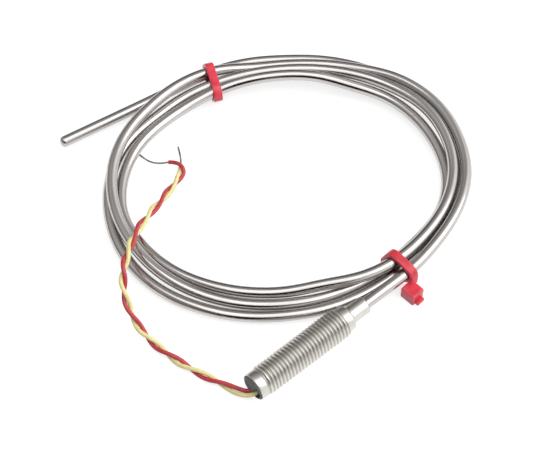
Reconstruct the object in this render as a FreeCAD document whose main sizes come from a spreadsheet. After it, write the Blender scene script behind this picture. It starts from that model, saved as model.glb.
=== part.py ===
import FreeCAD
import Part
import math
import os

# Mineral insulated thermocouple probe, coiled and tied, lying on a table.
# Millimetres, +Z up, the table is z = 0 and the photo's front is -Y.

V = FreeCAD.Vector
doc = FreeCAD.newDocument("probe")
sheet = doc.addObject("Spreadsheet::Sheet", "Sizes")

sizes = [
    ("coil_x", "6.17", "coil centre, so that the box is centred on the origin"),
    ("coil_y", "11.49", "coil centre, so that the box is centred on the origin"),
    ("coil_r", "41", "mean radius of the coil"),
    ("oval", "2.5", "how far the coil is out of round"),
    ("oval_turn", "20", "heading of the oval's long axis, degrees"),
    ("bend_step", "15", "angle between bends of the formed sheath, degrees"),
    ("lead_bend", "7.5", "angle from the pot's straight to the first bend, degrees"),
    ("sheath_d", "3", "sheath diameter"),
    ("lay_gap", "0.06", "air between neighbouring turns"),
    ("pot_heading", "219.68", "heading from the coil towards the pot's mouth, degrees"),
    ("pot_reach", "50.05", "coil's first bend to the pot's mouth"),
    ("thread_d", "8", "M8 x 1 thread, over the crests"),
    ("thread_len", "25.5", "threaded length"),
    ("thread_edge", "0.6", "lead-in bevel at both thread ends"),
    ("collar_d", "7.2", "plain collar at the mouth"),
    ("collar_len", "2.5", "collar length"),
    ("collar_edge", "0.2", "bevel on the mouth's rim"),
    ("shoulder_d", "6.6", "shoulder behind the thread"),
    ("shoulder_len", "2.2", "shoulder length"),
    ("neck_d", "4.6", "crimped neck round the sheath"),
    ("neck_len", "5.6", "neck length"),
    ("cavity_d", "6", "pot bore"),
    ("cavity_len", "26", "depth of the pot bore"),
    ("sheath_in", "23", "depth of the sheath's end below the mouth"),
    ("resin_recess", "0.4", "resin below the rim"),
    ("wire_d", "0.5", "thermoelement wire"),
    ("splice_d", "1.5", "crimp sleeve joining wire and lead"),
    ("splice_len", "6.8", "crimp sleeve length"),
    ("splice_depth", "8.2", "sleeve below the mouth"),
    ("splice_side", "0.8", "sleeve either side of the middle"),
    ("splice_drop", "0.9", "sleeves below the pot's axis"),
    ("tip_heading", "211.3", "heading of the straight sensing tip, degrees"),
    ("tip_sweep", "1.2", "how much further the tip's root heads round, degrees"),
    ("tip_root", "18", "tip's root, beside the coil"),
    ("tip_len", "24.2", "straight tip without its cap"),
    ("tip_bore_d", "2", "sheath bore at the tip"),
    ("tip_bore_len", "11", "modelled depth of the tip bore"),
    ("tip_trim", "0.2", "length trimmed off to square the sheath's end"),
    ("cap_spigot", "0.8", "end cap inside the bore"),
    ("cap_len", "1.2", "end cap outside the bore"),
    ("cap_edge", "0.8", "bevel round the end cap"),
    ("bead_d", "1.2", "welded hot junction"),
    ("bead_len", "1.2", "hot junction length"),
    ("tip_wire_side", "0.45", "wires either side of the tip's axis"),
    ("tie_t", "1", "tie strap thickness"),
    ("tie_w", "2.6", "tie strap width"),
    ("tie_gap", "0.32", "air between strap and sheath"),
    ("front_tie_at", "-45", "front tie's place round the coil, degrees"),
    ("rear_tie_at", "121", "rear tie's place round the coil, degrees"),
    ("front_tie_turn", "0", "front tie out of the radial plane, degrees"),
    ("rear_tie_turn", "-15", "rear tie out of the radial plane, degrees"),
    ("head_w", "4", "tie head across the strap"),
    ("head_len", "4.4", "tie head along the strap"),
    ("head_h", "4", "tie head height"),
    ("head_edge", "0.5", "bevel on the tie head"),
    ("head_shift", "2.2", "front head off its strap's middle, towards the pot"),
    ("head_under", "1.2", "rear head outward of the innermost turn it lies under"),
    ("stub_len", "1.5", "cut end of the strap past the head"),
    ("stub_t", "1.1", "thickness of the cut end"),
    ("pair_d", "2.2", "over the twisted pair of leads"),
    ("lead_d", "1.1", "one insulated lead"),
    ("bare_d", "0.5", "bare lead end"),
    ("pair_depth", "8", "leads held in the resin"),
    ("pair_drop", "1.7", "leads below the pot's axis at the mouth"),
    ("pair_out", "2.5", "first bend of the leads past the mouth"),
    ("bend_share", "0.45", "share of the shorter run taken by a bend"),
    ("red_reach", "2.6", "red lead from the twist to its fold"),
    ("red_bare", "4.6", "red lead's bare end up to its bend"),
    ("yellow_reach", "2", "yellow lead past the twist"),
]

for row, (name, value, note) in enumerate(sizes, 1):
    sheet.set("A%d" % row, name)
    sheet.set("B%d" % row, value)
    sheet.set("C%d" % row, note)
    sheet.setAlias("B%d" % row, name)
doc.recompute()


def size(name):
    return float(sheet.get(name))


full = 360.0
half = 0.5
up = V(0, 0, 1)
coilMid = V(size("coil_x"), size("coil_y"), 0)
sheathR = half * size("sheath_d")
spacing = size("sheath_d") + size("lay_gap")
lift = size("tie_t") + size("tie_gap")
potHeight = half * size("thread_d")

# How each turn lies in the bundle: angle round the coil, place outward of the
# mean oval and height above the lowest turn, both counted in strand spacings.
lay = [
    (-45, 1.05, 0.71), (-30, 0.91, 0.88), (-15, 1.11, 0.99), (0, 1.29, 1.0),
    (15, 1.12, 1.0), (30, 0.92, 0.98), (45, 0.34, 1.02), (60, -0.29, 0.72),
    (75, -0.52, 0.5), (90, -0.58, 0.45), (105, -0.39, 0.47), (120, 0.28, 0.84),
    (135, 0.56, 1.0), (150, 0.63, 1.0), (165, 0.86, 1.04), (180, 0.88, 1.06),
    (195, 0.73, 0.91), (210, 0.51, 0.68), (225, 0.33, 0.45), (240, 0.02, 0.12),
    (255, -0.15, 0.03), (270, -0.3, 0.0), (285, -0.37, 0.0), (300, -0.54, 0.0),
    (315, -0.73, 0.0), (330, -0.71, 0.0), (345, -0.26, 0.0), (360, -0.27, 0.0),
    (375, -0.74, 0.09), (390, -1.22, 0.29), (405, -1.62, 0.32), (420, -2.38, 0.7),
    (435, -2.58, 1.33), (450, -2.5, 1.4), (465, -2.38, 1.4), (480, -1.84, 0.8),
    (495, -1.46, 0.34), (510, -1.1, 0.29), (525, -0.35, 0.12), (540, 0.0, 0.0),
    (555, 0.16, 0.0), (570, -0.31, 0.0), (585, -0.69, 0.03), (600, -1.06, 0.09),
    (615, -1.22, 0.19), (630, -1.3, 0.27), (645, -1.08, 0.9), (660, -0.5, 1.03),
    (675, -0.29, 0.99), (690, -0.23, 0.99), (705, 0.02, 1.0), (720, 0.19, 1.0),
    (735, 0.09, 1.0), (750, -0.16, 1.0), (765, -0.82, 1.0), (780, -1.32, 1.07),
    (795, -1.5, 0.98), (810, -1.52, 0.96), (825, -1.38, 0.94), (840, -0.82, 0.42),
    (855, -0.3, 0.06), (870, -0.05, 0.06), (885, 0.76, 0.01), (900, 1.1, 0.0),
    (915, 1.29, 0.0), (930, 1.45, -0.04), (945, 1.4, -0.07), (960, 1.15, -0.07),
    (975, 0.94, -0.07), (990, 0.74, -0.04), (1005, 0.64, -0.04), (1020, 0.47, 0.0),
    (1035, 0.28, 0.0), (1050, 0.36, 0.0), (1065, 0.83, 0.0), (1080, 0.98, 0.0),
    (1095, 0.93, 0.0), (1110, 0.67, 0.0), (1125, 0.66, 0.0), (1140, 0.43, 0.0),
    (1155, 0.37, 0.0), (1170, 0.34, 0.0), (1185, 0.64, 0.0), (1204, 0.9, 0.0),
]
firstAngle = lay[0][0]
lastAngle = lay[-1][0]


def laySlope(row, column):
    before = lay[max(row - 1, 0)]
    after = lay[min(row + 1, len(lay) - 1)]
    return (after[column] - before[column]) / (after[0] - before[0])


def layAt(angle):
    row = 0
    while row < len(lay) - 2 and angle > lay[row + 1][0]:
        row += 1
    span = lay[row + 1][0] - lay[row][0]
    share = (angle - lay[row][0]) / span
    rest = 1 - share
    values = []
    for column in (1, 2):
        leaving = lay[row][column] * (1 + 2 * share) + laySlope(row, column) * span * share
        coming = lay[row + 1][column] * (1 + 2 * rest) - laySlope(row + 1, column) * span * rest
        values.append(leaving * rest ** 2 + coming * share ** 2)
    return values


def coilPoint(angle):
    outward, height = layAt(angle)
    swing = math.cos(math.radians(2 * (angle - size("oval_turn"))))
    radius = size("coil_r") + size("oval") * swing + outward * spacing
    flat = V(math.cos(math.radians(angle)), math.sin(math.radians(angle)), 0)
    return coilMid + flat * radius + up * (lift + sheathR + height * spacing)


def heading(degrees):
    return V(math.cos(math.radians(degrees)), math.sin(math.radians(degrees)), 0)


def aimed(point, direction):
    return FreeCAD.Placement(point, FreeCAD.Rotation(up, direction))


# The pot's mouth end lies on the table, its axis in line with the first run.
potStart = coilPoint(firstAngle)
potDrop = potStart.z - potHeight
potFlat = math.sqrt(size("pot_reach") ** 2 - potDrop ** 2)
mouth = potStart + heading(size("pot_heading")) * potFlat - up * potDrop
towardMouth = (mouth - potStart).normalize()
towardCoil = towardMouth * -1
acrossPot = up.cross(towardCoil).normalize()
potUp = towardCoil.cross(acrossPot)
sheathStart = mouth + towardCoil * size("sheath_in")

# The sheath's bends, one step apart so that neighbouring turns stay parallel.
angles = [firstAngle]
angle = firstAngle + size("lead_bend")
while angle < lastAngle:
    angles.append(angle)
    angle += size("bend_step")
angles.append(lastAngle)
bends = [coilPoint(place) for place in angles]
tipDir = heading(size("tip_heading"))
acrossTip = up.cross(tipDir)
tipRoot = bends[-1] + heading(size("tip_heading") + size("tip_sweep")) * size("tip_root")
tipEnd = tipRoot + tipDir * size("tip_len")
tipSpare = tipEnd + tipDir * size("tip_trim")
route = [sheathStart] + bends + [tipRoot, tipSpare]


def rod(label, diameter, length, placement):
    made = doc.addObject("Part::Cylinder", label)
    made.Label = label
    made.setExpression("Radius", "Sizes.%s / 2" % diameter)
    made.setExpression("Height", length)
    made.Placement = placement
    return made


def cut(label, base, tool):
    made = doc.addObject("Part::Cut", label)
    made.Label = label
    made.Base = base
    made.Tool = tool
    return made


def joined(label, pieces):
    made = doc.addObject("Part::MultiFuse", label)
    made.Label = label
    made.Shapes = pieces
    return made


def grouped(label, pieces):
    made = doc.addObject("Part::Compound", label)
    made.Label = label
    made.Links = pieces
    return made


def turned(label, outline, placement):
    body = doc.addObject("PartDesign::Body", label)
    body.Label = label
    sketch = body.newObject("Sketcher::SketchObject", label + "_outline")
    plane = [item for item in body.Origin.OriginFeatures if item.Role == "XZ_Plane"][0]
    sketch.AttachmentSupport = [(plane, "")]
    sketch.MapMode = "FlatFace"
    spots = [V(radius, along, 0) for radius, along in outline]
    for first, second in zip(spots, spots[1:] + spots[:1]):
        sketch.addGeometry(Part.LineSegment(first, second), False)
    spun = body.newObject("PartDesign::Revolution", label + "_turned")
    spun.Profile = sketch
    spun.ReferenceAxis = (sketch, ["V_Axis"])
    spun.Angle = full
    body.Tip = spun
    body.Placement = placement
    return body


def bentRod(label, points, diameter):
    spine = doc.addObject("Part::Polygon", label + "_route")
    spine.Nodes = points
    spine.Close = False
    ring = doc.addObject("Part::Circle", label + "_ring")
    ring.setExpression("Radius", "Sizes.%s / 2" % diameter)
    ring.Placement = aimed(points[0], points[1] - points[0])
    made = doc.addObject("Part::Sweep", label)
    made.Label = label
    made.Sections = [ring]
    made.Spine = (spine, [])
    made.Solid = True
    made.Frenet = False
    made.Transition = "Right corner"
    return made


# Sheath: one drawn tube, swept with mitred bends from the pot round to the tip.
formed = bentRod("sheath_formed", route, "sheath_d")
tipBack = tipEnd - tipDir * size("tip_bore_len")
boreR = half * size("tip_bore_d")
trimEnd = 2 * size("tip_trim")
tipBore = turned(
    "tip_bore",
    [(0, -size("tip_bore_len")), (boreR, -size("tip_bore_len")), (boreR, 0),
     (size("sheath_d"), 0), (size("sheath_d"), trimEnd), (0, trimEnd)],
    aimed(tipEnd, tipDir),
)
sheath = cut("sheath", formed, tipBore)

# Sensing tip: welded cap, packed oxide, two wires and the bead that joins them.
capFlat = sheathR - size("cap_edge")
endCap = turned(
    "end_cap",
    [(0, -size("cap_spigot")), (boreR, -size("cap_spigot")), (boreR, 0), (sheathR, 0),
     (sheathR, size("cap_len") - size("cap_edge")), (capFlat, size("cap_len")),
     (0, size("cap_len"))],
    aimed(tipEnd, tipDir),
)
packLen = size("tip_bore_len") - size("cap_spigot")
packEnd = tipBack + tipDir * packLen
beadBack = packEnd - tipDir * size("bead_len")
junction = rod("hot_junction", "bead_d", "Sizes.bead_len", aimed(beadBack, tipDir))
tipWire = "Sizes.tip_bore_len - Sizes.cap_spigot - Sizes.bead_len"
tipSide = acrossTip * size("tip_wire_side")
positiveTip = rod("positive_tip", "wire_d", tipWire, aimed(tipBack + tipSide, tipDir))
negativeTip = rod("negative_tip", "wire_d", tipWire, aimed(tipBack - tipSide, tipDir))
pack = rod("tip_pack", "tip_bore_d", "Sizes.tip_bore_len - Sizes.cap_spigot", aimed(tipBack, tipDir))
tipCore = joined("tip_core", [junction, positiveTip, negativeTip])
insulation = cut("tip_insulation", pack, tipCore)

# Pot: turned steel sleeve, bored from the mouth and crimped on to the sheath.
collarR = half * size("collar_d")
threadR = half * size("thread_d")
shoulderR = half * size("shoulder_d")
neckR = half * size("neck_d")
cavityR = half * size("cavity_d")
threadStart = size("collar_len")
threadEnd = threadStart + size("thread_len")
shoulderEnd = threadEnd + size("shoulder_len")
neckEnd = shoulderEnd + size("neck_len")
threadLow = threadR - size("thread_edge")
potFrame = aimed(mouth, towardCoil)
potBody = turned(
    "pot_body",
    [(cavityR, 0), (collarR - size("collar_edge"), 0), (collarR, size("collar_edge")),
     (collarR, threadStart), (threadLow, threadStart),
     (threadR, threadStart + size("thread_edge")), (threadR, threadEnd - size("thread_edge")),
     (threadLow, threadEnd), (shoulderR, threadEnd), (shoulderR, shoulderEnd),
     (neckR, shoulderEnd), (neckR, neckEnd), (sheathR, neckEnd),
     (sheathR, size("cavity_len")), (cavityR, size("cavity_len"))],
    potFrame,
)


def inPot(depth, side, drop):
    return mouth + towardCoil * depth + acrossPot * side - potUp * drop


spliceEnd = size("splice_depth") + size("splice_len")
side = size("splice_side")
drop = size("splice_drop")
positiveSplice = rod("positive_splice", "splice_d", "Sizes.splice_len",
                     aimed(inPot(size("splice_depth"), side, drop), towardCoil))
negativeSplice = rod("negative_splice", "splice_d", "Sizes.splice_len",
                     aimed(inPot(size("splice_depth"), -side, drop), towardCoil))
potWire = "Sizes.sheath_in - Sizes.splice_depth - Sizes.splice_len"
positivePot = rod("positive_pot", "wire_d", potWire, aimed(inPot(spliceEnd, side, drop), towardCoil))
negativePot = rod("negative_pot", "wire_d", potWire, aimed(inPot(spliceEnd, -side, drop), towardCoil))
positiveWire = grouped("positive_thermoelement", [positivePot, positiveTip])
negativeWire = grouped("negative_thermoelement", [negativePot, negativeTip])

# Leads: a twisted pair that leaves the resin, runs round the front of the coil,
# climbs over it at the left and ends inside it. Places are from the coil's centre.
pairStart = inPot(size("pair_depth"), 0, drop)
pairFirst = mouth + towardMouth * size("pair_out") - up * size("pair_drop")
pairRun = [
    (-22.4, -56.4, 1.2),
    (-34.4, -46.4, 1.8),
    (-40.4, -36.4, 7.4),
    (-40.8, -28.0, 10.8),
    (-37.2, -19.4, 10.8),
    (-32.6, -7.4, 3.0),
    (-27.8, 3.6, 1.4),
]
pairPoints = [pairStart, pairFirst]
pairPoints += [coilMid + V(*spot) for spot in pairRun]


def cord(label, points, diameter):
    share = size("bend_share")
    radius = half * size(diameter)
    edges = []
    last = points[0]
    for before, corner, after in zip(points, points[1:], points[2:]):
        into = corner - before
        out = after - corner
        reach = share * min(into.Length, out.Length)
        into.normalize()
        out.normalize()
        turn = into.getAngle(out)
        bendR = reach / math.tan(half * turn)
        enter = corner - into * reach
        leave = corner + out * reach
        inward = (out - into).normalize()
        crown = corner + inward * (bendR / math.cos(half * turn) - bendR)
        edges.append(Part.LineSegment(last, enter).toShape())
        edges.append(Part.Arc(enter, crown, leave).toShape())
        print(label, "bend radius", round(bendR, 1), "turn", round(math.degrees(turn)))
        last = leave
    edges.append(Part.LineSegment(last, points[-1]).toShape())
    path = Part.Wire(edges)
    edge = Part.Wire(Part.makeCircle(radius, points[0], points[1] - points[0]))
    made = doc.addObject("Part::Feature", label)
    made.Label = label
    made.Shape = path.makePipeShell([edge], True, True)
    print(label, "volume share", made.Shape.Volume / (math.pi * radius ** 2 * path.Length))
    return made


leadPair = cord("lead_pair", pairPoints, "pair_d")
pairEnd = pairPoints[-1]
endDir = (pairPoints[-1] - pairPoints[-2]).normalize()
endSide = up.cross(endDir).normalize() * (half * size("lead_d"))
redStart = pairEnd + endSide
yellowStart = pairEnd - endSide
redBend = redStart + endDir * size("red_reach")
redEnd = coilMid + V(-31.2, 6.8, 0.8)
redOut = (redEnd - redBend).normalize()
redBare = redEnd + redOut * size("red_bare")
redTip = coilMid + V(-40.1, 10.2, 0.6)
yellowEnd = yellowStart + endDir * size("yellow_reach")
yellowBare = yellowEnd + endDir * size("yellow_reach")
yellowTip = coilMid + V(-28.6, 11.6, 0.8)
redLead = bentRod("red_lead", [redStart, redBend, redEnd], "lead_d")
redConductor = bentRod("red_conductor", [redEnd, redBare, redTip], "bare_d")
yellowLead = rod("yellow_lead", "lead_d", "Sizes.yellow_reach", aimed(yellowStart, endDir))
yellowConductor = bentRod("yellow_conductor", [yellowEnd, yellowBare, yellowTip], "bare_d")

# Resin fills the pot round the sheath's end, the joints and the leads.
resinBlank = turned(
    "resin_blank",
    [(0, size("resin_recess")), (cavityR, size("resin_recess")), (cavityR, size("cavity_len")),
     (sheathR, size("cavity_len")), (sheathR, size("sheath_in")), (0, size("sheath_in"))],
    potFrame,
)
potCore = joined("pot_core", [positiveSplice, negativeSplice, positivePot, negativePot, leadPair])
resin = cut("potting_resin", resinBlank, potCore)


# Ties: a strap pulled round the turns that cross one upright plane, with a head.
def tiePlane(place, turn):
    out = heading(place + turn)
    return coilMid + (heading(place) - out) * size("coil_r"), out


def strandsAt(middle, out):
    along = up.cross(out)
    spots = []
    for start, stop in zip(route, route[1:]):
        near = (start - middle).dot(along)
        far = (stop - middle).dot(along)
        if near <= 0 < far:
            spot = start + (stop - start) * (near / (near - far))
            radius = (spot - middle).dot(out)
            if radius > 0:
                spots.append((radius, spot.z))
    return spots


def hull(spots):
    ordered = sorted(spots)
    sides = []
    for run in (ordered, ordered[::-1]):
        chain = []
        for spot in run:
            while len(chain) > 1:
                ax, ay = chain[-2]
                bx, by = chain[-1]
                if (bx - ax) * (spot[1] - ay) > (by - ay) * (spot[0] - ax):
                    break
                chain.pop()
            chain.append(spot)
        sides += chain[:-1]
    return sides


def tie(label, plane, headAt, headTop, shift, stubAt):
    middle, out = plane
    frame = FreeCAD.Placement(middle, FreeCAD.Rotation(out, up, out.cross(up), "XYZ"))
    core = doc.addObject("Part::Polygon", label + "_core")
    core.Nodes = [V(x, y, 0) for x, y in hull(strandsAt(middle, out))]
    core.Close = True
    loops = []
    for name, reach in (
        ("inner", "Sizes.sheath_d / 2 + Sizes.tie_gap"),
        ("outer", "Sizes.sheath_d / 2 + Sizes.tie_gap + Sizes.tie_t"),
    ):
        ringed = doc.addObject("Part::Offset2D", label + "_" + name)
        ringed.Source = core
        ringed.setExpression("Value", reach)
        ringed.Join = "Arc"
        solid = doc.addObject("Part::Extrusion", label + "_" + name + "_band")
        solid.Base = ringed
        solid.DirMode = "Custom"
        solid.Dir = up
        solid.setExpression("LengthFwd", "Sizes.tie_w")
        solid.Symmetric = True
        solid.Solid = True
        loops.append(solid)
    block = doc.addObject("Part::Box", label + "_block")
    block.setExpression("Length", "Sizes.head_len")
    block.Width = headTop
    block.setExpression("Height", "Sizes.head_w")
    block.Placement.Base = V(headAt, 0, shift - half * size("head_w"))
    head = doc.addObject("Part::Chamfer", label + "_head")
    head.Base = block
    bevel = size("head_edge")
    doc.recompute()
    head.Edges = [(number + 1, bevel, bevel) for number in range(len(block.Shape.Edges))]
    stub = doc.addObject("Part::Box", label + "_stub")
    stub.setExpression("Length", "Sizes.stub_len")
    stub.setExpression("Width", "Sizes.stub_t")
    stub.setExpression("Height", "Sizes.tie_w")
    stub.Placement.Base = V(stubAt[0], stubAt[1], shift - half * size("tie_w"))
    whole = joined(label + "_whole", [loops[1], head, stub])
    made = cut(label, whole, loops[0])
    made.Placement = frame
    return made


frontPlane = tiePlane(size("front_tie_at"), size("front_tie_turn"))
frontHead = max(strandsAt(*frontPlane))[0] + sheathR + size("tie_gap")
frontStub = (frontHead + size("head_len") - size("head_edge"), size("head_edge"))
frontTie = tie("front_tie", frontPlane, frontHead, size("head_h"), size("head_shift"), frontStub)
rearPlane = tiePlane(size("rear_tie_at"), size("rear_tie_turn"))
rearStrands = strandsAt(*rearPlane)
rearInner = min(rearStrands)
rearOuter = max(rearStrands)
rearSlope = (rearInner[1] - rearOuter[1]) / (rearOuter[0] - rearInner[0])
rearHead = rearInner[0] + size("head_under")
rearFall = rearSlope * (size("head_under") + half * size("head_len"))
rearTop = rearInner[1] - sheathR - size("tie_gap") - rearFall
rearStub = (rearHead - size("stub_len") + size("head_edge"), size("head_edge"))
rearTie = tie("rear_tie", rearPlane, rearHead, rearTop, 0, rearStub)

doc.recompute()
nodes = [
    sheath, endCap, insulation, junction, positiveWire, negativeWire, potBody, resin,
    positiveSplice, negativeSplice, leadPair, redLead, yellowLead, redConductor,
    yellowConductor, frontTie, rearTie,
]
for item in doc.Objects:
    if "Invalid" in item.State or "Error" in item.State:
        raise RuntimeError("not built: " + item.Name)
os.makedirs("parts", exist_ok=True)
for node in nodes:
    shape = node.Shape
    if shape.isNull() or not shape.isValid():
        raise RuntimeError("bad shape: " + node.Name)
    shape.exportStep("parts/%s.step" % node.Name)
    print(node.Name, "solids", len(shape.Solids), "volume", round(shape.Volume, 2))
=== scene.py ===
import math

import bmesh
import bpy
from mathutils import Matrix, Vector


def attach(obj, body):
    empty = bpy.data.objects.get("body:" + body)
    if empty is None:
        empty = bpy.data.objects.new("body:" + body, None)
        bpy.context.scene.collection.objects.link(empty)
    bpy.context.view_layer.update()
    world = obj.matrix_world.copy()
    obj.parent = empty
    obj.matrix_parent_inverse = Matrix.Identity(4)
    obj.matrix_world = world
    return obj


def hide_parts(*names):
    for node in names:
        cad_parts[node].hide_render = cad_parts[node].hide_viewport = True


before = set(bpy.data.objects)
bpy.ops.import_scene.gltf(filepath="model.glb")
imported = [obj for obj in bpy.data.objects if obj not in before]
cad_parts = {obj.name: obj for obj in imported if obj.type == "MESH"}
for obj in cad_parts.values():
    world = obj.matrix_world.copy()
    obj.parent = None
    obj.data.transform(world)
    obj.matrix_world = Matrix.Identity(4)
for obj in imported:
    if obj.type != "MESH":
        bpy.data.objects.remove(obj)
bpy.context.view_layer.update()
mm = 0.001   # the pieces are sized in millimetres and degrees, the studio in metres
runUnit = 0.01   # metres in one unit of the run coordinates
up = Vector((0, 0, 1))
print("frame loaded:", len(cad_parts), "nodes")


# small helpers for colour and nodes
def tint(colour):
    # screen colour 0-255 to a linear colour
    shades = []
    for value in colour:
        part = value / 255
        shades.append(part / 12.92 if part <= 0.04045 else ((part + 0.055) / 1.055) ** 2.4)
    return (*shades, 1.0)


class Tone:
    # a node's output that can stand in a sum
    def __init__(self, bench, socket):
        self.bench = bench
        self.socket = socket

    def work(self, kind, first, second):
        return self.bench.node("ShaderNodeMath", {"operation": kind}, {0: first, 1: second})

    def __add__(self, other):
        return self.work("ADD", self, other)

    def __radd__(self, other):
        return self.work("ADD", other, self)

    def __sub__(self, other):
        return self.work("SUBTRACT", self, other)

    def __rsub__(self, other):
        return self.work("SUBTRACT", other, self)

    def __mul__(self, other):
        return self.work("MULTIPLY", self, other)

    def __rmul__(self, other):
        return self.work("MULTIPLY", other, self)


class Bench:
    # one node tree and the ways to add to it
    def __init__(self, tree):
        self.tree = tree
        tree.nodes.clear()

    def node(self, kind, settings=None, sockets=None, out=0):
        made = self.tree.nodes.new(kind)
        for key, value in (settings or {}).items():
            setattr(made, key, value)
        for key, value in (sockets or {}).items():
            if isinstance(value, Tone):
                self.tree.links.new(value.socket, made.inputs[key])
            else:
                made.inputs[key].default_value = value
        return Tone(self, made.outputs[out]) if len(made.outputs) else made

    def blend(self, share, first, second):
        # numbered sockets: the Mix node has one set for each data type
        return self.node("ShaderNodeMix", {"data_type": "RGBA"}, {0: share, 6: first, 7: second}, 2)

    def shades(self, share, spec):
        return self.blend(share, tint(spec["dark"]), tint(spec["light"]))

    def grain(self, scale, detail=3.0, rough=0.6, stretch=None, run=False):
        # noise in the part's own metres, or along and round a piece
        if run:
            place = self.node("ShaderNodeUVMap", {"uv_map": "run"})
        else:
            place = self.node("ShaderNodeTexCoord", out=3)
        if stretch:
            place = self.node("ShaderNodeMapping", {}, {"Vector": place, "Scale": stretch})
        return self.node("ShaderNodeTexNoise", {}, {
            "Vector": place, "Scale": scale, "Detail": detail, "Roughness": rough})

    def between(self, value, low, high, toLow=0.0, toHigh=1.0):
        return self.node("ShaderNodeMapRange", {}, {
            0: value, 1: low, 2: high, 3: toLow, 4: toHigh})

    def dent(self, height, strength, depth):
        return self.node("ShaderNodeBump", {}, {
            "Height": height, "Strength": strength, "Distance": depth})


# finishes: screen colours, and the roughness where it is smoothest
finishSpec = {
    "drawnSteel": {"dark": (176, 172, 170), "light": (208, 204, 202), "patch": (168, 163, 159),
                   "rough": 0.12},
    "weldSteel": {"dark": (170, 165, 161), "light": (202, 197, 193), "rough": 0.18},
    # the pot's dark colour is painted shade for the thread roots
    "turnedSteel": {"dark": (167, 163, 157), "light": (220, 217, 212), "lathe": (204, 199, 193),
                    "rough": 0.25},
    # the resin's pit colour is painted shade
    "castResin": {"dark": (78, 80, 82), "light": (112, 113, 115), "pit": (26, 27, 28), "rough": 0.5},
    "redLead": {"dark": (170, 40, 50), "light": (200, 66, 72), "rough": 0.34},
    "yellowLead": {"dark": (216, 206, 132), "light": (238, 228, 170), "rough": 0.34},
    "bareWire": {"dark": (112, 112, 114), "light": (168, 168, 168), "rough": 0.24},
    "tieNylon": {"dark": (198, 38, 56), "light": (228, 68, 84), "rough": 0.22},
    "packedOxide": {"dark": (222, 220, 212), "light": (246, 245, 240), "rough": 0.8},
    "thermoAlloy": {"dark": (128, 122, 112), "light": (184, 178, 166), "rough": 0.28},
    "spliceMetal": {"dark": (150, 146, 140), "light": (206, 203, 196), "rough": 0.3},
}


def finishOf(name, build):
    # a material whose shader sockets come from build
    made = bpy.data.materials.new(name)
    made.use_nodes = True
    bench = Bench(made.node_tree)
    shader = bench.node("ShaderNodeBsdfPrincipled", {}, build(bench, finishSpec[name]))
    bench.node("ShaderNodeOutputMaterial", {}, {"Surface": shader})
    return made


def drawnSteel(bench, spec):
    # long die lines, with a slow change of polish along the tube
    lines = bench.grain(1.0, 4.0, 0.65, (0.5, 46.0, 1.0), run=True)
    fine = bench.grain(1.0, 2.0, 0.5, (5.0, 150.0, 1.0), run=True)
    patches = bench.grain(55.0, 3.0, 0.55)
    shade = bench.between(lines, 0.35, 0.68)
    colour = bench.shades(shade, spec)
    colour = bench.blend(bench.between(patches, 0.45, 0.75, 0.0, 0.35), colour, tint(spec["patch"]))
    polish = spec["rough"] + shade * 0.06 + patches * 0.07
    height = lines * 0.6 + fine * 0.4
    return {"Base Color": colour, "Metallic": 1.0, "Roughness": polish,
            "Normal": bench.dent(height, 0.10, 0.00012)}


def weldSteel(bench, spec):
    # the closed tip, a little duller than the tube
    swirl = bench.grain(900.0, 3.0, 0.6)
    colour = bench.shades(bench.between(swirl, 0.35, 0.7), spec)
    return {"Base Color": colour, "Metallic": 1.0, "Roughness": spec["rough"] + swirl * 0.12,
            "Normal": bench.dent(swirl, 0.15, 0.0001)}


def turnedSteel(bench, spec):
    # lathe lines round the pot, a little random stain, and painted shade that darkens the thread roots while
    # the crests stay lighter
    lathe = bench.grain(1.0, 3.0, 0.6, (90.0, 1.5, 1.0), run=True)
    stain = bench.grain(420.0, 4.0, 0.6)
    depth = bench.node("ShaderNodeAttribute", {"attribute_name": "crest"}, {}, 2)
    # painted shade in the thread roots, mixed with random stain
    rootShadeAndStain = bench.between(depth + stain * 0.5 - 0.25, 0.15, 0.85)
    colour = bench.shades(rootShadeAndStain, spec)
    colour = bench.blend(bench.between(lathe, 0.4, 0.75, 0.0, 0.3), colour, tint(spec["lathe"]))
    dull = spec["rough"] + (1 - rootShadeAndStain) * 0.08 + lathe * 0.08
    return {"Base Color": colour, "Metallic": 1.0, "Roughness": dull,
            "Normal": bench.dent(lathe, 0.10, 0.0001)}


def castResin(bench, spec):
    # dark filled resin, slightly cloudy, with small pits; painted shade makes it near black down in the pit
    # by the leads
    cloud = bench.grain(700.0, 4.0, 0.6)
    pits = bench.grain(3200.0, 2.0, 0.5)
    colour = bench.shades(bench.between(cloud, 0.35, 0.7), spec)
    clear = bench.node("ShaderNodeAttribute", {"attribute_name": "crest"}, {}, 2)
    # near black painted shade where the resin dips into the pit
    colour = bench.blend(bench.between(clear, 0.1, 0.8), tint(spec["pit"]), colour)
    return {"Base Color": colour, "Roughness": spec["rough"] + cloud * 0.2,
            "Normal": bench.dent(cloud * 0.6 + pits * 0.4, 0.3, 0.00012)}


def leadPlastic(bench, spec):
    # extruded skin with faint length-wise drag marks and handling scuffs
    drag = bench.grain(1.0, 3.0, 0.6, (1.2, 14.0, 1.0), run=True)
    scuff = bench.grain(900.0, 3.0, 0.6)
    marks = drag * 0.5 + scuff * 0.5
    colour = bench.shades(bench.between(marks, 0.36, 0.64), spec)
    return {"Base Color": colour, "Roughness": spec["rough"] + scuff * 0.16, "Coat Weight": 0.12,
            "Normal": bench.dent(marks, 0.12, 0.00008)}


def bareWire(bench, spec):
    lines = bench.grain(1.0, 3.0, 0.6, (0.8, 16.0, 1.0), run=True)
    film = bench.grain(800.0, 3.0, 0.6)
    colour = bench.shades(bench.between(film, 0.35, 0.7), spec)
    return {"Base Color": colour, "Metallic": 1.0, "Roughness": spec["rough"] + lines * 0.16,
            "Normal": bench.dent(lines, 0.15, 0.00005)}


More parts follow.
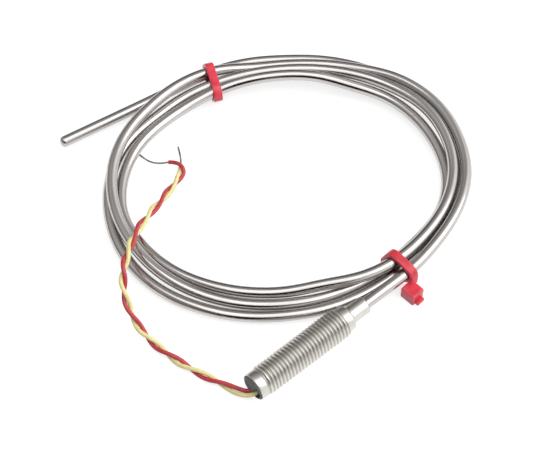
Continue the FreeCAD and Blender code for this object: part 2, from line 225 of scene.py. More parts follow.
def tieNylon(bench, spec):
    # moulded nylon: slight mottling, soft gloss, a fine skin texture
    mottle = bench.grain(260.0, 3.0, 0.55)
    skin = bench.grain(2600.0, 2.0, 0.5)
    colour = bench.shades(bench.between(mottle, 0.35, 0.68), spec)
    return {"Base Color": colour, "Roughness": spec["rough"] + mottle * 0.16,
            "Normal": bench.dent(skin * 0.5 + mottle * 0.5, 0.14, 0.0001)}


def packedOxide(bench, spec):
    powder = bench.grain(3000.0, 4.0, 0.65)
    return {"Base Color": bench.shades(powder, spec), "Roughness": spec["rough"] + powder * 0.15,
            "Normal": bench.dent(powder, 0.4, 0.0001)}


def thermoAlloy(bench, spec):
    film = bench.grain(1800.0, 3.0, 0.6)
    return {"Base Color": bench.shades(film, spec), "Metallic": 1.0, "Roughness": spec["rough"] + film * 0.18,
            "Normal": bench.dent(film, 0.2, 0.00005)}


def spliceMetal(bench, spec):
    film = bench.grain(1200.0, 3.0, 0.6)
    return {"Base Color": bench.shades(film, spec), "Metallic": 1.0, "Roughness": spec["rough"] + film * 0.2,
            "Normal": bench.dent(film, 0.25, 0.0001)}


finishes = {
    "sheath_steel": finishOf("drawnSteel", drawnSteel),
    "tip_steel": finishOf("weldSteel", weldSteel),
    "pot_steel": finishOf("turnedSteel", turnedSteel),
    "resin": finishOf("castResin", castResin),
    "red_insulation": finishOf("redLead", leadPlastic),
    "yellow_insulation": finishOf("yellowLead", leadPlastic),
    "bare_wire": finishOf("bareWire", bareWire),
    "tie_nylon": finishOf("tieNylon", tieNylon),
    "oxide": finishOf("packedOxide", packedOxide),
    "thermo_alloy": finishOf("thermoAlloy", thermoAlloy),
    "splice_metal": finishOf("spliceMetal", spliceMetal),
}
print("finishes made:", len(finishes))


# camera, at the photograph's angle
cameraSpec = {
    "aim": (1.77, -1.91, 1.1), "elevation": 56.5, "distance": 410.0,
    "lens": 105.8, "sensor": 36.0, "near": 10.0,
}


def setCamera(spec):
    tilt = math.radians(spec["elevation"])
    ahead = Vector((0, math.cos(tilt), -math.sin(tilt)))
    data = bpy.data.cameras.new("studioCamera")
    data.lens = spec["lens"]
    data.sensor_fit = "HORIZONTAL"
    data.sensor_width = spec["sensor"]
    data.clip_start = spec["near"] * mm
    camera = bpy.data.objects.new("studioCamera", data)
    camera.location = Vector(spec["aim"]) * mm - ahead * spec["distance"] * mm
    camera.rotation_euler = ahead.to_track_quat("-Z", "Y").to_euler()
    bpy.context.scene.collection.objects.link(camera)
    bpy.context.scene.camera = camera


setCamera(cameraSpec)
print("camera set")


# mesh helpers
def place(obj, slot, finish, *nodes):
    # one piece: its finish, its body and the solids it stands for
    obj.data.materials.append(finishes[finish])
    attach(obj, "root")
    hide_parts(*nodes)


def loft(name, rings, along, loop=False, caps=True, crests=None, sharp=40.0):
    # skin over equal rings, with "run" coordinates: along the piece and round it
    work = bmesh.new()
    run = work.loops.layers.uv.new("run")
    rows = [[work.verts.new(point) for point in ring] for ring in rings]
    sides = len(rings[0])
    spans = len(rows) if loop else len(rows) - 1
    for row in range(spans):
        nextRow = (row + 1) % len(rows)
        farAlong = along[row + 1]
        for side in range(sides):
            after = (side + 1) % sides
            face = work.faces.new((rows[row][side], rows[row][after],
                                   rows[nextRow][after], rows[nextRow][side]))
            face.smooth = True
            spots = ((along[row], side), (along[row], side + 1),
                     (farAlong, side + 1), (farAlong, side))
            for corner, (far, turn) in zip(face.loops, spots):
                corner[run].uv = (far, turn / sides)
    if caps and not loop:
        work.faces.new(rows[0][::-1])
        work.faces.new(rows[-1])
    bmesh.ops.recalc_face_normals(work, faces=work.faces[:])
    mesh = bpy.data.meshes.new(name)
    work.to_mesh(mesh)
    work.free()
    if crests:
        layer = mesh.attributes.new("crest", "FLOAT", "POINT")
        layer.data.foreach_set("value", [value for row in crests for value in row])
    mesh.set_sharp_from_angle(angle=math.radians(sharp))
    made = bpy.data.objects.new(name, mesh)
    bpy.context.scene.collection.objects.link(made)
    return made


def lengths(line):
    total = [0.0]
    for near, far in zip(line, line[1:]):
        total.append(total[-1] + (far - near).length)
    return total


def heads(line):
    # direction of a line at each of its points
    ways = []
    for index in range(len(line)):
        before = line[max(index - 1, 0)]
        after = line[min(index + 1, len(line) - 1)]
        ways.append((after - before).normalized())
    return ways


def across(way):
    # the level and the upright direction across a line
    side = up.cross(way).normalized()
    return side, way.cross(side)


def clamped(value):
    return min(1.0, max(0.0, value))


def roundTube(name, line, radii, sides):
    # a round skin on a line, with a radius for each of its points
    rings = []
    for spot, way, reach in zip(line, heads(line), radii):
        side, lift = across(way)
        ring = []
        for step in range(sides):
            turn = 2 * math.pi * step / sides
            ring.append(spot + (side * math.cos(turn) + lift * math.sin(turn)) * reach)
        rings.append(ring)
    return loft(name, rings, [far / runUnit for far in lengths(line)])


def evenly(line, step):
    # the same line with its points one step apart
    total = lengths(line)
    count = max(2, round(total[-1] / step))
    points = []
    index = 0
    for number in range(count + 1):
        want = total[-1] * number / count
        while index < len(total) - 2 and total[index + 1] < want:
            index += 1
        share = (want - total[index]) / (total[index + 1] - total[index])
        points.append(line[index].lerp(line[index + 1], min(1.0, share)))
    return points


def eased(line, passes):
    # evens out kinks where straight and coiled stretches meet
    for _ in range(passes):
        middle = [(a + b * 2 + c) / 4 for a, b, c in zip(line, line[1:], line[2:])]
        line = [line[0]] + middle + [line[-1]]
    return line


# sheath: the coil's turns, the run to the pot and the straight tip
sheathSpec = {
    "middle": (6.17, 11.49), "radius": 41.0, "oval": 2.5, "ovalTurn": 20.0,
    "thick": 3.0, "spacing": 3.06, "lift": 1.32, "potHeight": 4.0,
    "potHeading": 219.68, "potReach": 50.05, "inPot": 23.0,
    "tipHeading": 211.3, "tipSweep": 1.2, "tipRoot": 18.0, "tipLength": 24.2,
    "angleStep": 2.0, "step": 1.3, "ease": 10, "sides": 28,
    # angle round the coil, then outward and up in strand spacings
    "lay": [
        (-45, 1.05, 0.71), (-30, 0.91, 0.88), (-15, 1.11, 0.99), (0, 1.29, 1.0),
        (15, 1.12, 1.0), (30, 0.92, 0.98), (45, 0.34, 1.02), (60, -0.29, 0.72),
        (75, -0.52, 0.5), (90, -0.58, 0.45), (105, -0.39, 0.47), (120, 0.28, 0.84),
        (135, 0.56, 1.0), (150, 0.63, 1.0), (165, 0.86, 1.04), (180, 0.88, 1.06),
        (195, 0.73, 0.91), (210, 0.51, 0.68), (225, 0.33, 0.45), (240, 0.02, 0.12),
        (255, -0.15, 0.03), (270, -0.3, 0.0), (285, -0.37, 0.0), (300, -0.54, 0.0),
        (315, -0.73, 0.0), (330, -0.71, 0.0), (345, -0.26, 0.0), (360, -0.27, 0.0),
        (375, -0.74, 0.09), (390, -1.22, 0.29), (405, -1.62, 0.32), (420, -2.38, 0.7),
        (435, -2.58, 1.33), (450, -2.5, 1.4), (465, -2.38, 1.4), (480, -1.84, 0.8),
        (495, -1.46, 0.34), (510, -1.1, 0.29), (525, -0.35, 0.12), (540, 0.0, 0.0),
        (555, 0.16, 0.0), (570, -0.31, 0.0), (585, -0.69, 0.03), (600, -1.06, 0.09),
        (615, -1.22, 0.19), (630, -1.3, 0.27), (645, -1.08, 0.9), (660, -0.5, 1.03),
        (675, -0.29, 0.99), (690, -0.23, 0.99), (705, 0.02, 1.0), (720, 0.19, 1.0),
        (735, 0.09, 1.0), (750, -0.16, 1.0), (765, -0.82, 1.0), (780, -1.32, 1.07),
        (795, -1.5, 0.98), (810, -1.52, 0.96), (825, -1.38, 0.94), (840, -0.82, 0.42),
        (855, -0.3, 0.06), (870, -0.05, 0.06), (885, 0.76, 0.01), (900, 1.1, 0.0),
        (915, 1.29, 0.0), (930, 1.45, -0.04), (945, 1.4, -0.07), (960, 1.15, -0.07),
        (975, 0.94, -0.07), (990, 0.74, -0.04), (1005, 0.64, -0.04), (1020, 0.47, 0.0),
        (1035, 0.28, 0.0), (1050, 0.36, 0.0), (1065, 0.83, 0.0), (1080, 0.98, 0.0),
        (1095, 0.93, 0.0), (1110, 0.67, 0.0), (1125, 0.66, 0.0), (1140, 0.43, 0.0),
        (1155, 0.37, 0.0), (1170, 0.34, 0.0), (1185, 0.64, 0.0), (1204, 0.9, 0.0),
    ],
}
coilMiddle = Vector((*sheathSpec["middle"], 0)) * mm


def heading(degrees):
    return Vector((math.cos(math.radians(degrees)), math.sin(math.radians(degrees)), 0))


def laySlope(row, column):
    lay = sheathSpec["lay"]
    before = lay[max(row - 1, 0)]
    after = lay[min(row + 1, len(lay) - 1)]
    return (after[column] - before[column]) / (after[0] - before[0])


def layAt(angle):
    # smooth curve through the rows
    lay = sheathSpec["lay"]
    row = 0
    while row < len(lay) - 2 and angle > lay[row + 1][0]:
        row += 1
    span = lay[row + 1][0] - lay[row][0]
    share = (angle - lay[row][0]) / span
    rest = 1 - share
    values = []
    for column in (1, 2):
        leaving = lay[row][column] * (1 + 2 * share) + laySlope(row, column) * span * share
        coming = lay[row + 1][column] * (1 + 2 * rest) - laySlope(row + 1, column) * span * rest
        values.append(leaving * rest ** 2 + coming * share ** 2)
    return values


def coilPoint(angle):
    spec = sheathSpec
    outward, height = layAt(angle)
    swing = math.cos(math.radians(2 * (angle - spec["ovalTurn"])))
    reach = spec["radius"] + spec["oval"] * swing + outward * spec["spacing"]
    rise = spec["lift"] + spec["thick"] / 2 + height * spec["spacing"]
    return coilMiddle + (heading(angle) * reach + up * rise) * mm


tipWay = heading(sheathSpec["tipHeading"])
potStart = coilPoint(sheathSpec["lay"][0][0])
potDrop = potStart.z - sheathSpec["potHeight"] * mm
potFlat = math.sqrt((sheathSpec["potReach"] * mm) ** 2 - potDrop ** 2)
mouth = potStart + heading(sheathSpec["potHeading"]) * potFlat - up * potDrop
toMouth = (mouth - potStart).normalized()
toCoil = -toMouth
acrossPot, potUp = across(toCoil)


def inPot(far, turn, reach):
    # a place in the pot: distance in from the mouth, angle round it and radius
    return mouth + (toCoil * far + (acrossPot * math.cos(turn) + potUp * math.sin(turn)) * reach) * mm


def sheathLine(spec):
    first = spec["lay"][0][0]
    last = spec["lay"][-1][0]
    line = [mouth + toCoil * spec["inPot"] * mm, potStart]
    angle = first + 2 * spec["angleStep"]
    while angle < last - spec["angleStep"]:
        line.append(coilPoint(angle))
        angle += spec["angleStep"]
    line.append(coilPoint(last))
    root = line[-1] + heading(spec["tipHeading"] + spec["tipSweep"]) * spec["tipRoot"] * mm
    line += [root, root + tipWay * spec["tipLength"] * mm]
    return eased(evenly(line, spec["step"] * mm), spec["ease"])


strand = sheathLine(sheathSpec)
tipEnd = strand[-1]
strandRadii = [sheathSpec["thick"] / 2 * mm] * len(strand)
sheath = roundTube("sheath_tube", strand, strandRadii, sheathSpec["sides"])
place(sheath, "sheath_steel", "sheath_steel", "sheath")
print("sheath wound:", round(lengths(strand)[-1], 3), "m")

# closed tip: a short rounded weld
tipSpec = {
    "length": 1.19, "seam": 0.01, "round": 0.96, "fullness": 0.8, "smallest": 0.08, "rings": 14, "sides": 28,
}


def tipCap(spec):
    reach = sheathSpec["thick"] / 2
    line, radii = [], []
    for step in range(spec["rings"] + 1):
        turn = math.pi / 2 * step / spec["rings"] * spec["round"]
        line.append(tipEnd + tipWay * (spec["seam"] + spec["length"] * math.sin(turn)) * mm)
        radii.append(max(spec["smallest"], reach * math.cos(turn) ** spec["fullness"]) * mm)
    made = roundTube("tip_cap", line, radii, spec["sides"])
    place(made, "sheath_steel", "tip_steel", "end_cap")


tipCap(tipSpec)
print("tip closed")


# pot: threaded sleeve with a plain collar at the mouth and a crimped neck
potSpec = {
    "sides": 72, "pitch": 1.0, "depth": 0.42, "thread": 4.0, "perTurn": 10,
    "threadFrom": 2.5, "threadTo": 28.0, "leadIn": 0.9, "firstDepth": 0.12,
    # plain rings take a middle level of the painted root shade
    "flat": 0.1, "flank": 0.74, "plainShade": 0.62, "sharp": 70.0,
    # radius and distance from the mouth, before and after the thread
    "mouth": [(2.9, 5.0), (3.0, 4.9), (3.0, 0.25), (3.06, 0.1), (3.2, 0.0), (3.36, 0.0),
              (3.5, 0.05), (3.58, 0.14), (3.6, 0.3), (3.6, 2.1), (3.57, 2.3), (3.44, 2.42)],
    "neck": [(3.3, 28.05), (3.32, 28.3), (3.32, 29.7), (3.26, 30.0), (3.05, 30.2), (2.6, 30.3),
             (2.4, 30.42), (2.32, 30.7), (2.3, 31.2), (2.3, 35.2), (2.26, 35.5), (2.1, 35.72),
             (1.8, 35.8), (1.51, 35.8)],
}


def potSkin(spec):
    rings, along, crests = [], [], []

    def addRing(far, radii, rootShadeAndStain):
        ring = []
        for step, reach in enumerate(radii):
            turn = 2 * math.pi * step / spec["sides"]
            ring.append(inPot(far, turn, reach))
        rings.append(ring)
        along.append(far * mm / runUnit)
        crests.append(rootShadeAndStain)

    def addPlain(profile):
        for reach, far in profile:
            addRing(far, [reach] * spec["sides"], [spec["plainShade"]] * spec["sides"])

    addPlain(spec["mouth"])
    count = round((spec["threadTo"] - spec["threadFrom"]) / spec["pitch"] * spec["perTurn"])
    for row in range(count + 1):
        far = spec["threadFrom"] + (spec["threadTo"] - spec["threadFrom"]) * row / count
        edge = min(far - spec["threadFrom"], spec["threadTo"] - far) / spec["leadIn"]
        full = spec["firstDepth"] + (1 - spec["firstDepth"]) * clamped(edge)
        radii, rootShadeAndStain = [], []
        for step in range(spec["sides"]):
            phase = (far / spec["pitch"] + step / spec["sides"]) % 1.0
            # one at the crest and none at the root, with a small flat on both
            ridge = 1 - clamped((abs(phase - 0.5) * 2 - spec["flat"]) / spec["flank"])
            radii.append(spec["thread"] - spec["depth"] + spec["depth"] * min(ridge, full))
            # the ridge share also sets how much painted shade a spot gets
            rootShadeAndStain.append(ridge)
        addRing(far, radii, rootShadeAndStain)
    addPlain(spec["neck"])
    made = loft("pot_sleeve", rings, along, caps=False, crests=crests, sharp=spec["sharp"])
    place(made, "pot_steel", "pot_steel", "pot_body")


potSkin(potSpec)
print("pot turned and threaded")

# resin: fills the mouth, bulges from it and has a pit where the leads come out, with painted shade in the pit
resinSpec = {
    "sides": 48, "sharp": 70.0, "wave": 0.05, "waves": 3, "waveTwist": 2, "waveReach": 3.0,
    "pit": 1.9, "pitTurn": 198.0, "pitReach": 2.9, "pitMiddle": 2.4, "pitSlope": 1.6, "pitEdge": 0.2,
    # radius, distance in from the mouth
    "rings": [(2.97, 4.85), (2.97, 0.3), (3.02, 0.1), (3.16, -0.02), (3.44, -0.02), (3.47, -0.06),
              (3.4, -0.15), (3.15, -0.32), (2.94, -0.42), (2.8, -0.48), (2.3, -0.62), (1.7, -0.7),
              (1.0, -0.74), (0.4, -0.74), (0.05, -0.74)],
}


def resinPlug(spec):
    rings, along, clear = [], [], []
    for reach, far in spec["rings"]:
        ring, light = [], []
        for step in range(spec["sides"]):
            turn = 2 * math.pi * step / spec["sides"]
            pit = wave = 0.0
            if reach < spec["pitReach"]:
                toPit = math.cos(turn - math.radians(spec["pitTurn"])) * reach / spec["pitMiddle"]
                pit = clamped(toPit * spec["pitSlope"] - spec["pitEdge"])
            if far < 0 and reach < spec["waveReach"]:
                swell = math.sin(spec["waves"] * turn + spec["waveTwist"] * reach)
                wave = spec["wave"] * swell * reach / spec["waveReach"]
            ring.append(inPot(far + wave + spec["pit"] * pit, turn, reach))
            # one minus the share of painted shade, darkest deep in the pit
            light.append(1.0 - pit)
        rings.append(ring)
        clear.append(light)
        along.append(far * mm / runUnit + reach)
    made = loft("resin_fill", rings, along, crests=clear, sharp=spec["sharp"])
    place(made, "resin", "resin", "potting_resin")


resinPlug(resinSpec)
print("resin poured")


# leads: a twisted pair on one smooth route, then a free red and a free yellow end
leadSpec = {
    "thick": 1.1, "apart": 1.22, "bare": 0.5, "sides": 14, "bareSides": 10,
    "exitBack": 8.0, "exitDrop": 0.9, "outSide": 1.1, "outDrop": 1.4,
    "untwist": 0.8, "step": 0.5, "ease": 4,
    # the pair's route from the coil's middle
    "route": [(-11.2, -62.6, 1.9), (-16.5, -59.3, 1.2), (-23.2, -55.9, 1.2), (-29.2, -51.8, 1.3),
              (-35.2, -46.6, 1.6), (-38.9, -41.8, 4.6), (-40.5, -37.6, 8.4), (-40.7, -33.4, 10.4),
              (-40.0, -29.2, 10.8), (-38.9, -24.6, 10.6), (-37.2, -19.6, 9.8), (-35.2, -14.4, 7.6),
              (-32.6, -8.3, 4.6), (-30.0, -2.2, 2.2), (-28.8, 0.3, 1.7), (-27.95, 2.05, 1.6)],
    "redEnd": [(-27.0, 3.3, 2.1), (-27.7, 4.7, 2.3), (-29.4, 6.0, 2.0), (-31.2, 6.4, 1.4)],
    "redBare": [(-31.2, 6.4, 1.4), (-33.6, 6.2, 1.0), (-36.0, 6.8, 0.7), (-38.2, 8.4, 0.6),
                (-40.1, 10.3, 0.6)],
    "yellowEnd": [(-28.3, 3.9, 1.0), (-28.0, 5.7, 0.7)],
    "yellowBare": [(-28.0, 5.7, 0.7), (-28.2, 9.0, 0.6), (-29.0, 12.0, 0.6)],
    # millimetres from the mouth and turns made by there
    "twist": [(-8.0, 0.2), (3.0, 0.25), (9.0, 0.5), (12.5, 0.75), (16.7, 1.0), (24.0, 1.5), (31.0, 2.0),
              (37.7, 2.5), (44.5, 3.0), (49.8, 3.5), (55.5, 4.0), (61.0, 4.5), (69.6, 5.0), (77.8, 5.5),
              (86.2, 6.0), (89.5, 6.25)],
}


def smoothRoute(points):
    # the points of a smooth curve that has these as its control points
    data = bpy.data.curves.new("routeGuide", "CURVE")
    data.dimensions = "3D"
    data.resolution_u = 32
    spline = data.splines.new("NURBS")
    spline.points.add(len(points) - 1)
    for slot, spot in zip(spline.points, points):
        slot.co = (*spot, 1.0)
    spline.order_u = 3
    spline.use_endpoint_u = True
    guide = bpy.data.objects.new("routeGuide", data)
    bpy.context.scene.collection.objects.link(guide)
    mesh = bpy.data.meshes.new_from_object(guide)
    line = [vertex.co.copy() for vertex in mesh.vertices]
    bpy.data.objects.remove(guide)
    bpy.data.curves.remove(data)
    bpy.data.meshes.remove(mesh)
    return line


def fromMiddle(spots):
    return [coilMiddle + Vector(spot) * mm for spot in spots]


def turnsAt(far):
    # turns of twist made by a distance from the mouth
    for start, stop in zip(leadSpec["twist"], leadSpec["twist"][1:]):
        if far <= stop[0]:
            break
    return start[1] + (far - start[0]) / (stop[0] - start[0]) * (stop[1] - start[1])


pairRoute = smoothRoute([
    mouth + (toCoil * leadSpec["exitBack"] - potUp * leadSpec["exitDrop"]) * mm,
    mouth - (acrossPot * leadSpec["outSide"] + up * leadSpec["outDrop"]) * mm,
    *fromMiddle(leadSpec["route"]),
])


def twisted(line, offset):
    # one core of the pair, wound about the route
    total = lengths(line)
    reach = leadSpec["apart"] / 2 * mm
    core = []
    for spot, way, far in zip(line, heads(line), total):
        side, lift = across(way)
        turn = offset - 2 * math.pi * turnsAt(far / mm - leadSpec["exitBack"])
        core.append(spot + (side * math.cos(turn) + lift * math.sin(turn)) * reach)
    return core


def leadCore(name, slot, offset, ending, bare, *nodes):
    # the insulated lead stands for all its nodes but the last, which is the bare end
    core = twisted(pairRoute, offset)
    way = (core[-1] - core[-3]).normalized()
    parting = core[-1] + way * leadSpec["untwist"] * mm
    tail = smoothRoute([core[-1], parting, *fromMiddle(leadSpec[ending])])
    path = eased(evenly(core + tail[1:], leadSpec["step"] * mm), leadSpec["ease"])
    made = roundTube(name, path, [leadSpec["thick"] / 2 * mm] * len(path), leadSpec["sides"])
    place(made, slot, slot, *nodes[:-1])
    wireLine = smoothRoute([path[-3]] + fromMiddle(leadSpec[bare]))
    wireRadii = [leadSpec["bare"] / 2 * mm] * len(wireLine)
    wire = roundTube(name + "_bare", wireLine, wireRadii, leadSpec["bareSides"])
    place(wire, "bare_wire", "bare_wire", nodes[-1])
    round(lengths(path)[-1], 3)


leadCore("red_core", "red_insulation", -math.pi / 2, "redEnd", "redBare",
         "lead_pair", "red_lead", "red_conductor")
leadCore("yellow_core", "yellow_insulation", math.pi / 2, "yellowEnd", "yellowBare",
         "yellow_lead", "yellow_conductor")
print("leads twisted")


# ties: a strap pulled round the turns that cross one upright plane
tieSpec = {
    "gap": 0.12, "thick": 1.0, "wide": 2.35, "edge": 0.18, "sharp": 50.0,
    "cornerStep": 0.16, "step": 0.35, "ease": 3,
    # the head's length, height and width, and the cut tail's length and thickness
    "head": (4.4, 4.0, 4.0), "headEdge": 0.5, "headFoot": 0.1, "headUnder": 1.2,
    "stub": (1.5, 1.1), "stubEdge": 0.15, "stubFoot": 0.5,
    # place round the coil, turn out of the radial plane, head's shift along the coil, tail from the head
    "front": {"at": -45, "turn": 0, "shift": 2.2, "stubFrom": 3.9},
    "rear": {"at": 121, "turn": -15, "shift": 0, "stubFrom": -1.0},
    # the front strap's last bend: outward and up from its strand, then outward, height and side in the head
    "bendFrom": (0.5, 0.2), "bendTo": (1.0, 3.2, 1.3), "bendSteps": 8, "bendWiden": 0.7,
}


def tiePlane(spec):
    # where the strap's plane stands: its origin, outward and sideways
    out = heading(spec["at"] + spec["turn"])
    return coilMiddle + (heading(spec["at"]) - out) * sheathSpec["radius"] * mm, out, up.cross(out)


def strandsAt(plane, beside=0.0):
    # outward reach and height of each strand that crosses the plane, or a plane beside it
    middle, out, along = plane
    spots = []
    for near, far in zip(strand, strand[1:]):
        a = (near - middle).dot(along) - beside * mm
        b = (far - middle).dot(along) - beside * mm
        if a <= 0 < b:
            spot = near.lerp(far, a / (a - b))
            reach = (spot - middle).dot(out)
            if reach > 0:
                spots.append((reach / mm, spot.z / mm))
    return spots


def outline(spots):
    # convex outline of the strands, counter-clockwise
    ordered = sorted(spots)
    sides = []
    for run in (ordered, ordered[::-1]):
        chain = []
        for spot in run:
            while len(chain) > 1:
                (ax, ay), (bx, by) = chain[-2:]
                if (bx - ax) * (spot[1] - ay) > (by - ay) * (spot[0] - ax):
                    break
                chain.pop()
            chain.append(spot)
        sides += chain[:-1]
    return sides


def strapLine(spots, reach):
    # a line drawn tight round the strands at one distance
    line = []
    corners = outline(spots)
    for index, spot in enumerate(corners):
        before = corners[index - 1]
        after = corners[(index + 1) % len(corners)]
        start = math.atan2(spot[1] - before[1], spot[0] - before[0]) - math.pi / 2
        stop = math.atan2(after[1] - spot[1], after[0] - spot[0]) - math.pi / 2
        while stop < start:
            stop += 2 * math.pi
        steps = max(2, round((stop - start) / tieSpec["cornerStep"]))
        for step in range(steps + 1):
            turn = start + (stop - start) * step / steps
            line.append(Vector((*spot, 0)) + Vector((math.cos(turn), math.sin(turn), 0)) * reach)
    return line


def strapSection(wide, thick, edge):
    # rounded oblong, outward and sideways
    ring = []
    for sx, sy, start in ((1, 1, 0), (-1, 1, 90), (-1, -1, 180), (1, -1, 270)):
        for step in range(4):
            turn = math.radians(start + 30 * step)
            ring.append((sx * (thick / 2 - edge) + math.cos(turn) * edge,
                         sy * (wide / 2 - edge) + math.sin(turn) * edge))
    return ring


def strapLoop(name, plane, spec):
    middle, out, along = plane
    half = spec["wide"] / 2
    # clear of the strands over the strap's whole width
    spots = strandsAt(plane) + strandsAt(plane, half) + strandsAt(plane, -half)
    reach = sheathSpec["thick"] / 2 + spec["gap"] + spec["thick"] / 2
    line = strapLine(spots, reach)
    flat = evenly(line + [line[0]], spec["step"])[:-1]
    for _ in range(spec["ease"]):
        flat = [(flat[i - 1] + flat[i] * 2 + flat[(i + 1) % len(flat)]) / 4 for i in range(len(flat))]
    rings = []
    section = strapSection(spec["wide"], spec["thick"], spec["edge"])
    for index, spot in enumerate(flat):
        way = (flat[(index + 1) % len(flat)] - flat[index - 1]).normalized()
        away = Vector((way.y, -way.x, 0))
        ring = []
        for off, wide in section:
            point = spot + away * off
            ring.append(middle + (out * point.x + up * point.y + along * wide) * mm)
        rings.append(ring)
    far = [value * mm / runUnit for value in lengths(flat + [flat[0]])]
    return loft(name, rings, far, loop=True, sharp=spec["sharp"])


def block(work, low, high, edge, turnTo):
    # an oblong with bevelled edges
    made = bmesh.ops.create_cube(work, size=1.0)["verts"]
    middle = [(a + b) / 2 for a, b in zip(low, high)]
    span = [b - a for a, b in zip(low, high)]
    for vertex in made:
        vertex.co = Vector([m + s * c for m, s, c in zip(middle, span, vertex.co)])
    edges = list({side for vertex in made for side in vertex.link_edges})
    cut = bmesh.ops.bevel(work, geom=edges, offset=edge, segments=2, profile=0.6, affect="EDGES")
    corners = {vertex for face in cut["faces"] for vertex in face.verts}
    for vertex in corners | {vertex for vertex in made if vertex.is_valid}:
        vertex.co = turnTo(vertex.co)


def lastBend(work, start, stop, turnTo):
    # the strap's way from its loop down into the head, a little wider at the head
    rows = []
    for step in range(tieSpec["bendSteps"] + 1):
        share = step / tieSpec["bendSteps"]
        swing = share * share * (3 - 2 * share)
        x, y, z = [a + (b - a) * t for a, b, t in zip(start, stop, (swing, share, swing))]
        ring = strapSection(tieSpec["wide"] + tieSpec["bendWiden"] * share, tieSpec["thick"], tieSpec["edge"])
        rows.append([work.verts.new(turnTo(Vector((x + off, y, z + wide)))) for off, wide in ring])
    for near, far in zip(rows, rows[1:]):
        for side in range(len(near)):
            after = (side + 1) % len(near)
            work.faces.new((near[side], near[after], far[after], far[side])).smooth = True
    work.faces.new(rows[0])
    work.faces.new(rows[-1])


def tie(name, node, spec, plane, headFrom, headTop, bend=None):
    middle, out, along = plane
    loop = strapLoop(name, plane, tieSpec)

    def inPlane(spot):
        return middle + (out * spot.x + up * spot.y + along * (spot.z - spec["shift"])) * mm

    work = bmesh.new()
    work.from_mesh(loop.data)
    long, _, wide = tieSpec["head"]
    block(work, (headFrom, tieSpec["headFoot"], -wide / 2), (headFrom + long, headTop, wide / 2),
          tieSpec["headEdge"], inPlane)
    stubLong, stubThick = tieSpec["stub"]
    stubFrom = headFrom + spec["stubFrom"]
    foot = tieSpec["stubFoot"]
    half = tieSpec["wide"] / 2
    block(work, (stubFrom, foot, -half), (stubFrom + stubLong, foot + stubThick, half),
          tieSpec["stubEdge"], inPlane)
    if bend:
        lastBend(work, *bend, inPlane)
    bmesh.ops.recalc_face_normals(work, faces=work.faces[:])
    work.to_mesh(loop.data)
    work.free()
    place(loop, "tie_nylon", "tie_nylon", node)


def frontTie(spec):
    # its head stands outside the bundle
    plane = tiePlane(spec)
    reach, rise = max(strandsAt(plane))
    headFrom = reach + sheathSpec["thick"] / 2 + tieSpec["gap"]
    outward, lift = tieSpec["bendFrom"]
    into, height, side = tieSpec["bendTo"]
    bend = ((headFrom + outward, rise + lift, spec["shift"]), (headFrom + into, height, side))
    tie("front_strap", "front_tie", spec, plane, headFrom, tieSpec["head"][1], bend)


def rearTie(spec):
    # its head lies under the bundle, below the slope of the strands
    plane = tiePlane(spec)
    spots = strandsAt(plane)
    inner, outer = min(spots), max(spots)
    slope = (inner[1] - outer[1]) / (outer[0] - inner[0])
    fall = slope * (tieSpec["headUnder"] + tieSpec["head"][0])
    headTop = inner[1] - sheathSpec["thick"] / 2 - tieSpec["gap"] - fall
    tie("rear_strap", "rear_tie", spec, plane, inner[0] + tieSpec["headUnder"], headTop)


frontTie(tieSpec["front"])
rearTie(tieSpec["rear"])
print("ties pulled tight")


# the pieces sealed inside keep their solids
for node, slot in (("tip_insulation", "oxide"), ("hot_junction", "thermo_alloy"),
                   ("positive_thermoelement", "thermo_alloy"), ("negative_thermoelement", "thermo_alloy"),
                   ("positive_splice", "splice_metal"), ("negative_splice", "splice_metal")):
    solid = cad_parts[node]
    solid.data.materials.clear()
    solid.data.materials.append(finishes[slot])
print("inner pieces finished")


# studio: a white table, a soft box overhead and one at the right, and the light of the room
studioSpec = {
    "floor": 12.0, "glow": 0.7, "paper": 0.5, "rough": 0.9,
    "low": 0.05, "high": 0.5, "climb": (0.35, 0.85), "behind": (-0.7, -0.1),
    "side": 1.1, "sideSpan": (0.15, 0.6), "left": 0.25, "leftSpan": (-0.2, -0.6),
    "over": {"at": (0.08, -0.3, 0.9), "look": (0.08, -0.3, 0), "size": (0.9, 1.0), "watts": 4.5},
    "right": {"at": (0.9, -0.06, 0.79), "look": (0, 0, 0), "size": (0.9, 0.9), "watts": 3.8},
}


def softbox(name, spec):
    data = bpy.data.lights.new(name, "AREA")
    data.shape = "RECTANGLE"
    data.size, data.size_y = spec["size"]
    data.energy = spec["watts"]
    lamp = bpy.data.objects.new(name, data)
    lamp.location = spec["at"]
    aim = Vector(spec["look"]) - Vector(spec["at"])
    lamp.rotation_euler = aim.to_track_quat("-Z", "Y").to_euler()
    bpy.context.scene.collection.objects.link(lamp)


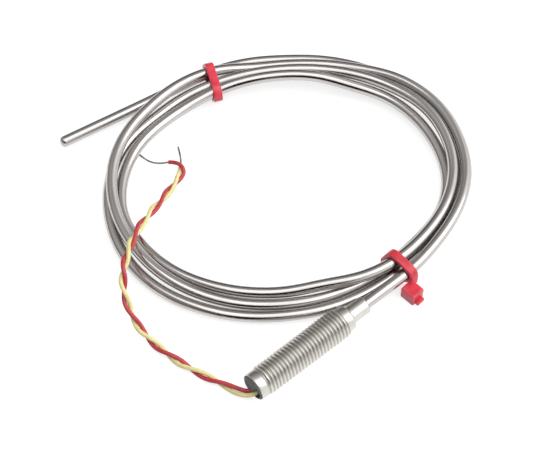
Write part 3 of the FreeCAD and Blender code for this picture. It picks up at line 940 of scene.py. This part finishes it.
def lightPath(bench, kind):
    return bench.node("ShaderNodeLightPath", {}, {}, "Is %s Ray" % kind)


def tableTop(spec):
    data = bpy.data.meshes.new("table")
    reach = spec["floor"]
    corners = [(-reach, -reach, 0), (reach, -reach, 0), (reach, reach, 0), (-reach, reach, 0)]
    data.from_pydata(corners, [], [(0, 1, 2, 3)])
    table = bpy.data.objects.new("table", data)
    bpy.context.scene.collection.objects.link(table)
    paper = bpy.data.materials.new("whiteTable")
    paper.use_nodes = True
    bench = Bench(paper.node_tree)
    # the glow shows to the eye and in reflections only
    seen = lightPath(bench, "Camera") + lightPath(bench, "Glossy") + lightPath(bench, "Transmission")
    shader = bench.node("ShaderNodeBsdfPrincipled", {}, {
        "Base Color": (*[spec["paper"]] * 3, 1), "Roughness": spec["rough"], "Specular IOR Level": 0.0,
        "Emission Color": bench.node("ShaderNodeClamp", {}, {0: seen}) * spec["glow"],
        "Emission Strength": 1.0})
    bench.node("ShaderNodeOutputMaterial", {}, {"Surface": shader})
    data.materials.append(paper)


def studioAir(spec):
    # grey overhead and behind, dark low down and in front, pale at the right and a little at the left
    world = bpy.data.worlds.new("studioAir")
    world.use_nodes = True
    bench = Bench(world.node_tree)
    look = bench.node("ShaderNodeTexCoord", {}, {}, 0)
    side, depth, rise = [bench.node("ShaderNodeSeparateXYZ", {}, {"Vector": look}, axis) for axis in range(3)]
    shade = bench.between(rise, *spec["climb"], spec["low"], spec["high"])
    shade = shade * bench.between(depth, *spec["behind"])
    shade = shade + bench.between(side, *spec["sideSpan"], 0.0, spec["side"])
    shade = shade + bench.between(side, *spec["leftSpan"], 0.0, spec["left"])
    back = bench.node("ShaderNodeBackground", {}, {"Color": shade, "Strength": 1.0})
    bench.node("ShaderNodeOutputWorld", {}, {"Surface": back})
    bpy.context.scene.world = world


softbox("overBox", studioSpec["over"])
softbox("rightBox", studioSpec["right"])
tableTop(studioSpec)
studioAir(studioSpec)
bpy.context.scene.view_settings.view_transform = "Standard"
print("studio lit")
